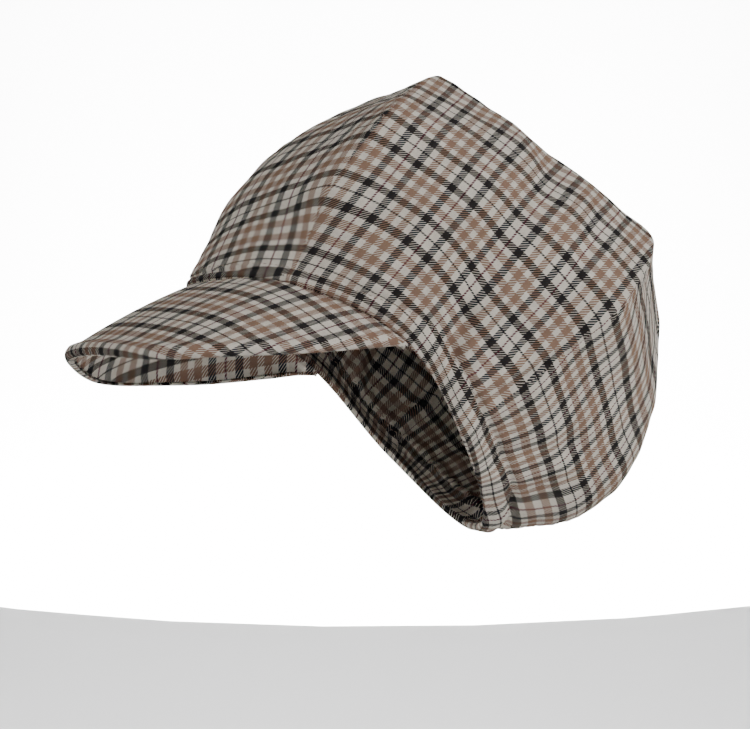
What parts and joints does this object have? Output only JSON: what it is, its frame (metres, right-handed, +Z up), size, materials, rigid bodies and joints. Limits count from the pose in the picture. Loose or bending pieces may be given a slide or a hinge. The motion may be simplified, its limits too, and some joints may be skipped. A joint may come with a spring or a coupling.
{
  "type": "slouch cap",
  "caption": "Slouch cap of checked twill: a deep soft crown with four corner darts leans back over the head from an elastic hem, with a stiff arched peak at the front.",
  "frame": {"origin": "on the cap's middle plane at the level of the hem's front edge, 100 mm behind that edge, where the middle of a head sits at brow height", "axes": "+Z up as worn, -Y to the front where the peak is, +X to the wearer's left"},
  "size_m": [0.1944, 0.3465, 0.2453],
  "materials": {
    "crown_cloth": "matt cotton twill, woven check in cream, tan, dark brown, charcoal and dark red",
    "peak_cloth": "the same checked twill, stretched flat over the stiff peak",
    "peak_under_cloth": "the same checked twill on the underside"
  },
  "bodies": {
    "root": {"crown": "crown_cloth", "peak_top_cover": "peak_cloth", "peak_under_cover": "peak_under_cloth"}
  },
  "joints": []
}
